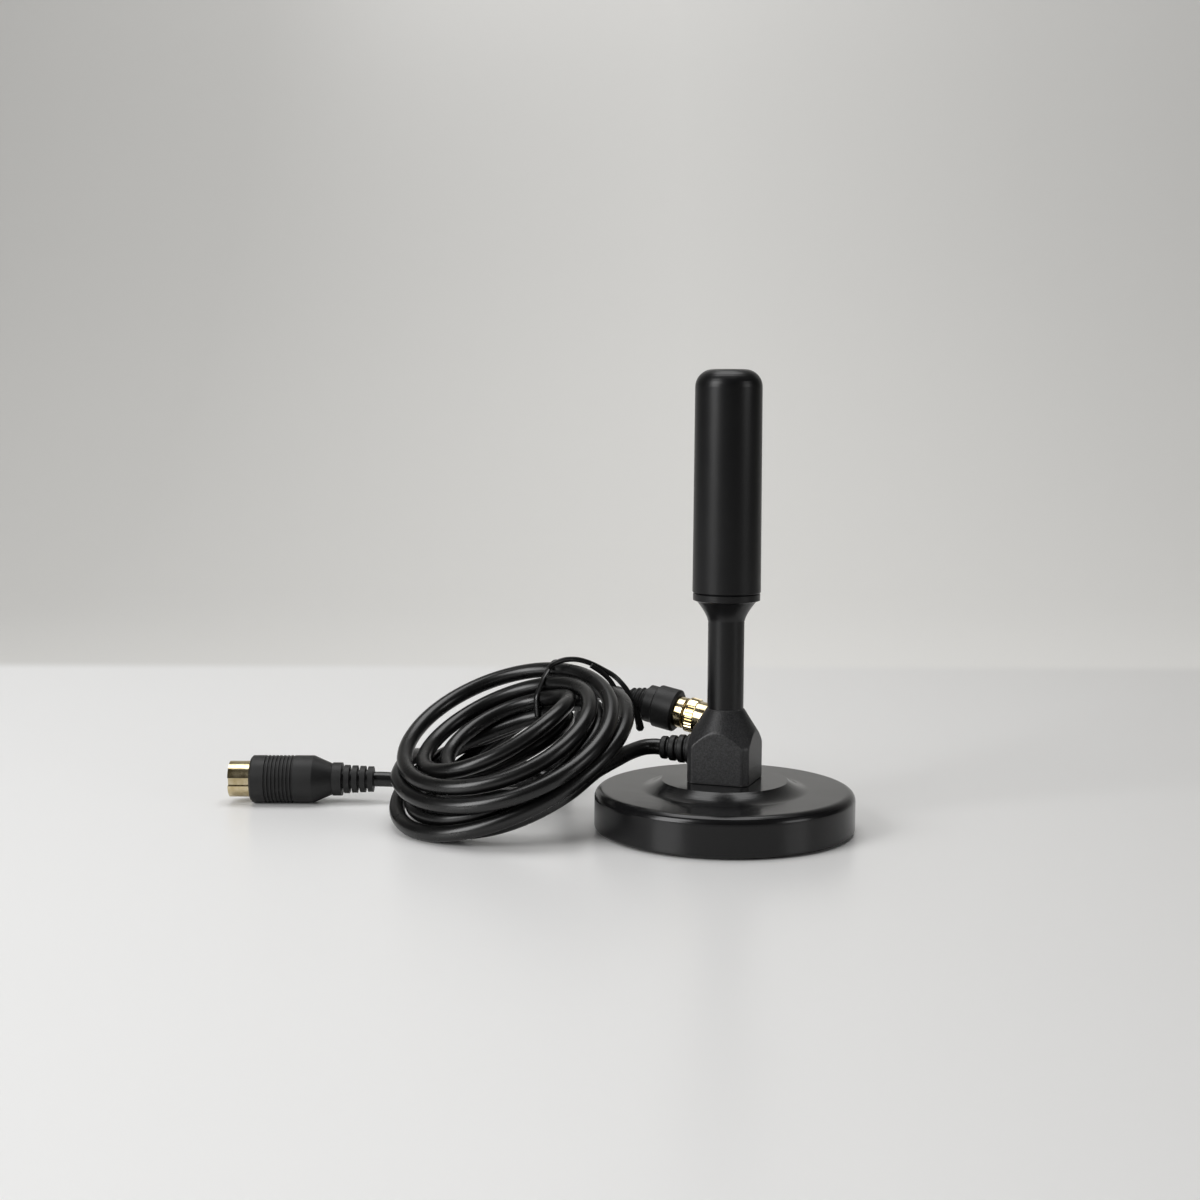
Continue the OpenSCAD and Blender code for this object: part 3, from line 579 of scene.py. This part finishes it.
# %% Extruded PVC
pvc_sheath, tree, shader, where = new_material("extruded_black_pvc", "#0c0c0c", 0.28, specular=0.5)
waves = add(tree, "ShaderNodeTexNoise", {"Vector": where}, scale=per_mm(5), detail=2)
skin = add(tree, "ShaderNodeTexNoise", {"Vector": where}, scale=per_mm(0.5), detail=3)
vary_roughness(tree, shader, waves.outputs["Fac"], 0.23, 0.34)
tint(tree, shader, waves.outputs["Fac"], "#0a0a0a", "#0f0f0f")
soft = relief(tree, shader, waves.outputs["Fac"], 0.03)
relief(tree, shader, skin.outputs["Fac"], 0.004, below=soft)
print(pvc_sheath.name)

# %% [markdown]
# ## Plug grips and boots: moulded PVC
# Overmoulds are softer and duller than the sheath. The mould is blasted, so the surface has a dry, close
# grain and a wide weak highlight. Dust holds to it, which lifts the colour a little.

# %% Moulded PVC
pvc_moulded, tree, shader, where = new_material("moulded_matt_black_pvc", "#131313", 0.52, specular=0.4)
grain = add(tree, "ShaderNodeTexNoise", {"Vector": where}, scale=per_mm(0.25), detail=3)
cloud = add(tree, "ShaderNodeTexNoise", {"Vector": where}, scale=per_mm(4), detail=3)
vary_roughness(tree, shader, cloud.outputs["Fac"], 0.44, 0.58)
tint(tree, shader, cloud.outputs["Fac"], "#0f0f0f", "#171717")
relief(tree, shader, grain.outputs["Fac"], 0.015)
print(pvc_moulded.name)

# %% [markdown]
# ## Bright metal
# The plug shell, the fixed ring and the coupling nut are nickel-plated brass: bright, a little warm, with
# the marks of handling. A metal's colour is its reflection, so the base colour is light and the metallic
# value is one. Contacts are thinly gold-plated, and hidden fixings are zinc-plated steel.

# %% Metals
nickel, tree, shader, where = new_material("bright_nickel_plate", "#d9d0bd", 0.16, metallic=1.0)
smear = add(tree, "ShaderNodeTexNoise", {"Vector": where}, scale=per_mm(2.5), detail=5)
vary_roughness(tree, shader, smear.outputs["Fac"], 0.1, 0.26)
tint(tree, shader, smear.outputs["Fac"], "#b5a276", "#dccfae", 0.3, 0.7)
scuffs = add(tree, "ShaderNodeTexNoise", {"Vector": where}, scale=per_mm(0.6), detail=4)
relief(tree, shader, scuffs.outputs["Fac"], 0.003)

gold, tree, shader, where = new_material("gold_plated_brass", "#d8b15a", 0.22, metallic=1.0)
smear = add(tree, "ShaderNodeTexNoise", {"Vector": where}, scale=per_mm(1), detail=3)
vary_roughness(tree, shader, smear.outputs["Fac"], 0.15, 0.3)

zinc, tree, shader, where = new_material("zinc_plated_steel", "#a9adb2", 0.35, metallic=1.0)
spangle = add(tree, "ShaderNodeTexVoronoi", {"Vector": where}, scale=per_mm(2))
vary_roughness(tree, shader, spangle.outputs["Distance"], 0.28, 0.45)
tint(tree, shader, spangle.outputs["Distance"], "#9a9fa6", "#bcc0c4")

copper, tree, shader, where = new_material("etched_copper_foil", "#c98763", 0.3, metallic=1.0)
smear = add(tree, "ShaderNodeTexNoise", {"Vector": where}, scale=per_mm(1.5), detail=4)
vary_roughness(tree, shader, smear.outputs["Fac"], 0.22, 0.42)
tint(tree, shader, smear.outputs["Fac"], "#b97350", "#d79a77")
print(nickel.name, gold.name, zinc.name, copper.name)

# %% [markdown]
# ## What is inside and underneath
# These parts are seldom seen, but the model can be opened or turned over: sintered ferrite is dull and
# pitted, the foot is a closed-cell foam rubber, the board is glass-fibre epoxy with a green lacquer, and
# the spacers are foam.

# %% Inner materials
ferrite, tree, shader, where = new_material("sintered_ferrite", "#3a3a3c", 0.72)
pits = add(tree, "ShaderNodeTexVoronoi", {"Vector": where}, scale=per_mm(0.6))
tint(tree, shader, pits.outputs["Distance"], "#2c2c2e", "#454548")
relief(tree, shader, pits.outputs["Distance"], 0.03)

foam_rubber, tree, shader, where = new_material("closed_cell_foam_rubber", "#1c1c1c", 0.85)
cells = add(tree, "ShaderNodeTexVoronoi", {"Vector": where}, scale=per_mm(0.45))
tint(tree, shader, cells.outputs["Distance"], "#141414", "#262626")
relief(tree, shader, cells.outputs["Distance"], 0.06)

board_epoxy, tree, shader, where = new_material("green_lacquered_glass_epoxy", "#1f5a34", 0.35)
weave = add(tree, "ShaderNodeTexWave", {"Vector": where}, scale=per_mm(1.2), distortion=0.6, detail=1)
tint(tree, shader, weave.outputs["Fac"], "#1a4f2d", "#24653b")
relief(tree, shader, weave.outputs["Fac"], 0.01)

white_foam, tree, shader, where = new_material("die_cut_white_foam", "#e4e3dd", 0.9)
cells = add(tree, "ShaderNodeTexVoronoi", {"Vector": where}, scale=per_mm(0.7))
tint(tree, shader, cells.outputs["Distance"], "#d2d1cb", "#f0efea")
relief(tree, shader, cells.outputs["Distance"], 0.08)

white_dielectric, tree, shader, where = new_material("extruded_white_polyethylene", "#e0dfda", 0.45)
drag = add(tree, "ShaderNodeTexNoise", {"Vector": where}, scale=per_mm(1.5), detail=2)
vary_roughness(tree, shader, drag.outputs["Fac"], 0.38, 0.52)
tint(tree, shader, drag.outputs["Fac"], "#d6d5cf", "#e9e8e4")

black_insulator, tree, shader, where = new_material("moulded_black_pbt", "#161616", 0.45)
grain = add(tree, "ShaderNodeTexNoise", {"Vector": where}, scale=per_mm(0.4), detail=3)
tint(tree, shader, grain.outputs["Fac"], "#121212", "#1c1c1c")
relief(tree, shader, grain.outputs["Fac"], 0.01)
print(ferrite.name, foam_rubber.name, board_epoxy.name)
print(white_foam.name, white_dielectric.name, black_insulator.name)

# %% [markdown]
# ## Dress the parts
# Each CAD node takes its material by the slot that the record names. Our own pieces take theirs directly,
# ride on the antenna's body, and hide the CAD nodes they stand for.

# %% Assign materials
finish_of = {
    "base_shell": abs_polished, "head_plastic": abs_textured, "stem_black": anodised_turned,
    "boss_metal": anodised_blasted, "lead_pvc": pvc_sheath, "tie_plastic": pvc_sheath,
    "boot_rubber": pvc_moulded, "nickel": nickel, "brass": gold, "steel": zinc, "copper": copper,
    "ferrite": ferrite, "pad_rubber": foam_rubber, "board": board_epoxy, "foam": white_foam,
    "coax_white": white_dielectric, "plug_insulator": black_insulator}
for part in record["subparts"]:
    item = nodes[part["node"]]
    item.data.materials.clear()
    item.data.materials.append(finish_of[part["material_slot"]])

stand_for = [
    (trunk, pvc_sheath, "lead_pvc", ("lead_front", "lead_coil", "lead_back")),
    (round_tail, pvc_sheath, "lead_pvc", ("round_plug_tail",)),
    (rf_tail, pvc_sheath, "lead_pvc", ("rf_plug_tail",)),
    (y_joint, pvc_moulded, "boot_rubber", ("lead_y_joint",)),
    (tie_loop, pvc_sheath, "tie_plastic", ("coil_tie",)),
    (tie_tail, pvc_sheath, "tie_plastic", ()),
    (tie_end, pvc_sheath, "tie_plastic", ()),
    (boss, anodised_blasted, "boss_metal", ("boss",)),
    (boot, pvc_moulded, "boot_rubber", ("boss_boot",))]
for piece, finish, slot, names in stand_for:
    piece.data.materials.clear()
    piece.data.materials.append(finish)
    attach(piece, "antenna")
    if names:
        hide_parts(*names)
print(len(record["subparts"]), "CAD nodes and", len(stand_for), "pieces dressed")

# %% [markdown]
# ## The lengths of the cords
# The trunk ends in the Y joint, and each tail starts there and ends in its plug.

round(length_of(trunk), 3)
round(length_of(round_tail), 3)
round(length_of(rf_tail), 3)

# %% [markdown]
# ## Floor and backdrop
# The model stands on one long sheet that lies flat, curves up behind and becomes the wall, as in a product
# studio. The near part is a shade lighter than the far part, with a soft line between them. Light and shade
# are also painted into the sheet's colour from side to side: the near part is much lighter on the left than
# on the right, and the far part is lightest in the middle and darkest on the left. The sheet has a low
# gloss, so it mirrors the dark antenna as a faint streak.

# %% Sheet
turn = math.radians(camera_heading - 90)
across, away = Vector((math.cos(turn), math.sin(turn), 0)), Vector((-math.sin(turn), math.cos(turn), 0))

def spot(x, y, z):
    """A point given across, away and up from the base's middle, in millimetres."""
    return across * x + away * y + Vector((0, 0, z))

half_width, flat_end, cove_r = 2600, 450, 750
cove_angles = [math.radians(5 * k) for k in range(1, 19)]
sheet_profile = [(-half_width, 0), (-1300, 0), (-600, 0), (0, 0), (flat_end, 0)]
sheet_profile += [(flat_end + cove_r * math.sin(a), cove_r - cove_r * math.cos(a)) for a in cove_angles]
sheet_profile += [(flat_end + cove_r, 1600), (flat_end + cove_r, 3000)]
sheet_points = [spot(x, y, z) for y, z in sheet_profile for x in (-half_width, half_width)]
sheet_faces = [(2 * k, 2 * k + 1, 2 * k + 3, 2 * k + 2) for k in range(len(sheet_profile) - 1)]
sheet = new_piece("studio_sheet", sheet_points, sheet_faces, smooth=True)
paper, tree, shader, where = new_material("satin_coated_paper", "#d8d7d4", 0.3)
turned_round = add(tree, "ShaderNodeMapping", {"Vector": where}, rotation=(0, 0, -turn))
split = add(tree, "ShaderNodeSeparateXYZ", {"Vector": turned_round.outputs["Vector"]})
near = add(tree, "ShaderNodeMapRange", {"Value": split.outputs["Y"]}, interpolation_type="SMOOTHSTEP",
           from_min=0.258, from_max=0.282, to_min=1, to_max=0)
sideways = add(tree, "ShaderNodeMapRange", {"Value": split.outputs["X"]}, from_min=-0.32, from_max=0.32)

def painted_side_light(left, right):
    """Painted light and shade: a colour that runs across the sheet from left to right."""
    ramp = add(tree, "ShaderNodeValToRGB", {"Fac": sideways.outputs["Result"]})
    ramp.color_ramp.elements[0].color, ramp.color_ramp.elements[1].color = linear(left), linear(right)
    return ramp

# Painted light and shade: the near ramp runs from near white on the left to grey on the right, and the far
# ramp is lightest just past the middle and darkest on the left.
far_tone_and_painted_light, near_tone_and_painted_light = painted_side_light("#d1d0cd", "#dfdedb"), painted_side_light("#f6f6f6", "#cccbc9")
far_tone_and_painted_light.color_ramp.elements.new(0.55).color = linear("#e6e5e2")
both = add(tree, "ShaderNodeMix", data_type="RGBA")
feeds = {0: near.outputs["Result"], 6: far_tone_and_painted_light.outputs["Color"], 7: near_tone_and_painted_light.outputs["Color"]}
for socket, feed in feeds.items():
    tree.links.new(feed, both.inputs[socket])
tree.links.new(both.outputs[2], shader.inputs["Base Color"])
sheet.data.materials.append(paper)
print("sheet of", len(sheet_faces), "faces")

# %% [markdown]
# ## Light
# Black things are lit by what they mirror. A large soft light on the upper left gives the long highlights,
# a weaker one on the right opens the shadows, and one above lights the sheet. The room behind the camera
# stays dark, which keeps the blacks deep.

# %% Lamps
def soft_light(name, at, aim, size, power, colour="#ffffff"):
    """A rectangular lamp at one spot that looks at another."""
    data = bpy.data.lights.new(name, "AREA")
    data.shape, data.size, data.size_y, data.energy = "RECTANGLE", size[0] * MM, size[1] * MM, power
    data.color = linear(colour)[:3]
    lamp = bpy.data.objects.new(name, data)
    bpy.context.scene.collection.objects.link(lamp)
    lamp.location = spot(*at) * MM
    lamp.rotation_mode = "QUATERNION"
    lamp.rotation_quaternion = (spot(*aim) - spot(*at)).to_track_quat("-Z", "Y")
    return lamp

soft_light("window", (-760, -560, 480), (-40, 0, 40), (480, 700), 8)
soft_light("ceiling", (-60, 200, 1200), (-60, 200, 0), (900, 900), 8.7)
soft_light("fill", (900, -500, 350), (-40, 0, 40), (400, 400), 1.6)
soft_light("wash", (0, 200, 1600), (0, 1200, 400), (2200, 600), 3)
world = bpy.data.worlds.new("room")
world.use_nodes = True
world.node_tree.nodes["Background"].inputs["Color"].default_value = linear("#f4f3f0")
world.node_tree.nodes["Background"].inputs["Strength"].default_value = 0.05
bpy.context.scene.world = world
bpy.context.scene.view_settings.view_transform = "Standard"
print(len(bpy.data.lights), "lamps")
